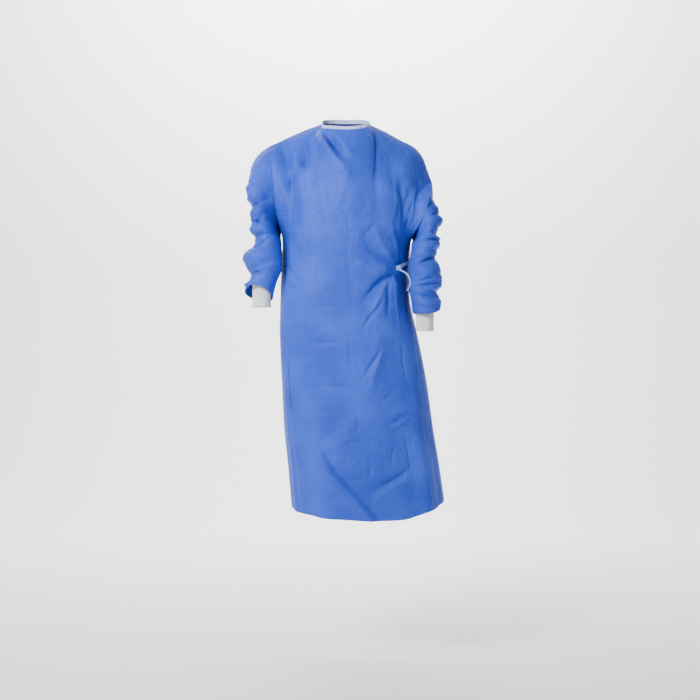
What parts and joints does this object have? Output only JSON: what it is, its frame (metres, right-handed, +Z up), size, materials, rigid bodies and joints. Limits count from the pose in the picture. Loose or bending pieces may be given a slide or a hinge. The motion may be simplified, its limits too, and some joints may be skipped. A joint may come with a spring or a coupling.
{
  "type": "exam gown",
  "caption": "Long-sleeved wrap-back exam gown of nonwoven cloth, worn form, hollow, with a bound neck, knitted cuffs and a waist tie knotted at the front.",
  "frame": {"origin": "middle of the neck at the height of the shoulders, where the wearer's shoulders carry the gown", "axes": "+Z up, -Y to the front of the gown, +X to the wearer's left"},
  "size_m": [0.5999, 0.3741, 1.1921],
  "materials": {
    "gown_cloth": "thin nonwoven cloth, matt with a soft papery sheen",
    "knit_cuff": "white rib knit, matt",
    "binding": "pale blue folded strip of nonwoven cloth, matt",
    "tab": "white touch fastener, matt",
    "tie": "pale blue strip of nonwoven cloth, matt"
  },
  "bodies": {
    "root": {"front_panel": "gown_cloth", "back_panel_left": "gown_cloth", "back_panel_right": "gown_cloth", "sleeve_left": "gown_cloth", "sleeve_right": "gown_cloth", "cuff_left": "knit_cuff", "cuff_right": "knit_cuff", "neck_binding": "binding", "neck_tab": "tab", "waist_tie": "tie", "tie_knot": "tie", "tie_tail": "tie"}
  },
  "joints": []
}
